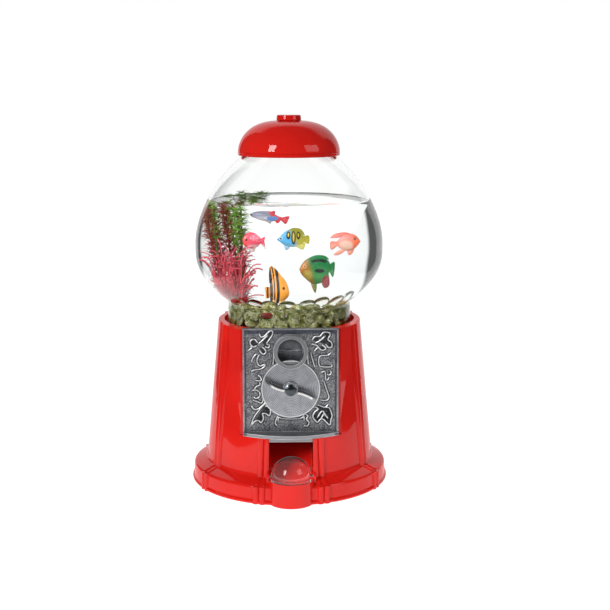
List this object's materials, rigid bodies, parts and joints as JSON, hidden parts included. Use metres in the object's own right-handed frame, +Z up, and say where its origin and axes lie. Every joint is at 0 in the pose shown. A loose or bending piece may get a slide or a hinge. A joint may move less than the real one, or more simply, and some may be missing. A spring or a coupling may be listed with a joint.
{
  "type": "gumball machine",
  "caption": "Coin-turned gumball machine: round glass globe kept as a fish bowl, lift-off lid, turning coin handle, hinged cup flap, flared red base.",
  "frame": {"origin": "on the globe's axis, in the plane that the base's lip stands on", "axes": "+Z up along the globe's axis, -Y out of the front where the coin plate and cup are, +X to the viewer's right"},
  "size_m": [0.207, 0.2163, 0.3812],
  "materials": {
    "red_enamel": "gloss",
    "pewter": "antiqued cast metal",
    "turned_metal": "fine concentric lines",
    "dark_steel": "dark",
    "steel": "zinc plated",
    "black_plate": "matt",
    "black_rubber": "matt",
    "clear_rubber": "translucent",
    "white_plastic": "moulded",
    "clear_plastic": "clear",
    "glass": "clear blown glass",
    "water": "clear",
    "pebbles": "clear greenish glass gems",
    "plant_red": "soft",
    "plant_green": "soft",
    "plant_grass": "soft",
    "fish_guppy": "gloss",
    "fish_pink": "gloss",
    "fish_blue": "gloss",
    "fish_coral": "gloss",
    "fish_green": "gloss",
    "fish_angel": "gloss"
  },
  "bodies": {
    "base": {"base_casting": "red_enamel", "hopper_plate": "red_enamel", "hopper_screws": "steel", "globe_gasket": "clear_rubber", "coin_plate": "pewter", "plate_screws": "steel", "mechanism_housing": "pewter", "wheel_drum": "pewter", "mechanism_screws": "steel", "chute_ramp": "red_enamel", "chute_rivets": "steel", "flap_pins": "steel", "bottom_plate": "black_plate", "bottom_screws": "steel", "pawl_pin": "steel", "pawl_spring": "steel"},
    "plug": {"bank_plug": "black_rubber"},
    "pawl": {"pawl": "steel"},
    "handle": {"turn_handle": "turned_metal", "hub_cap": "dark_steel", "handle_shaft": "steel", "coin_wheel": "pewter", "ratchet_wheel": "steel", "gum_wheel": "white_plastic", "shaft_washer": "steel", "shaft_nut": "steel"},
    "flap": {"chute_flap": "clear_plastic"},
    "globe": {"globe": "glass", "water": "water", "pebbles": "pebbles", "plant_base": "plant_red", "plant_red": "plant_red", "plant_green": "plant_green", "plant_grass": "plant_grass", "fish_guppy": "fish_guppy", "fish_pink": "fish_pink", "fish_blue": "fish_blue", "fish_coral": "fish_coral", "fish_green": "fish_green", "fish_angel": "fish_angel"},
    "lid": {"lid": "red_enamel", "lid_knob": "red_enamel", "knob_screw": "steel"}
  },
  "joints": [
    {"name": "handle_turn", "type": "hinge", "parent": "base", "child": "handle", "pos_m": [0, -0.0685, 0.1112], "axis": [0, 1, 0], "continuous": true},
    {"name": "pawl_rock", "type": "hinge", "parent": "base", "child": "pawl", "pos_m": [-0.01183, -0.0566, 0.13345], "axis": [0, -1, 0], "range_deg": [0, 11], "stiffness_Nm_per_rad": 0.002, "springref_deg": -17.19},
    {"name": "flap_swing", "type": "hinge", "parent": "base", "child": "flap", "pos_m": [0, -0.0895, 0.0266], "axis": [-1, 0, 0], "range_deg": [0, 75]},
    {"name": "globe_lift", "type": "slide", "parent": "base", "child": "globe", "axis": [0, 0, 1], "range_m": [0, 0.05]},
    {"name": "lid_lift", "type": "slide", "parent": "globe", "child": "lid", "axis": [0, 0, 1], "range_m": [0, 0.08]},
    {"name": "plug_pull", "type": "slide", "parent": "base", "child": "plug", "axis": [0, 0, -1], "range_m": [0, 0.02]}
  ]
}
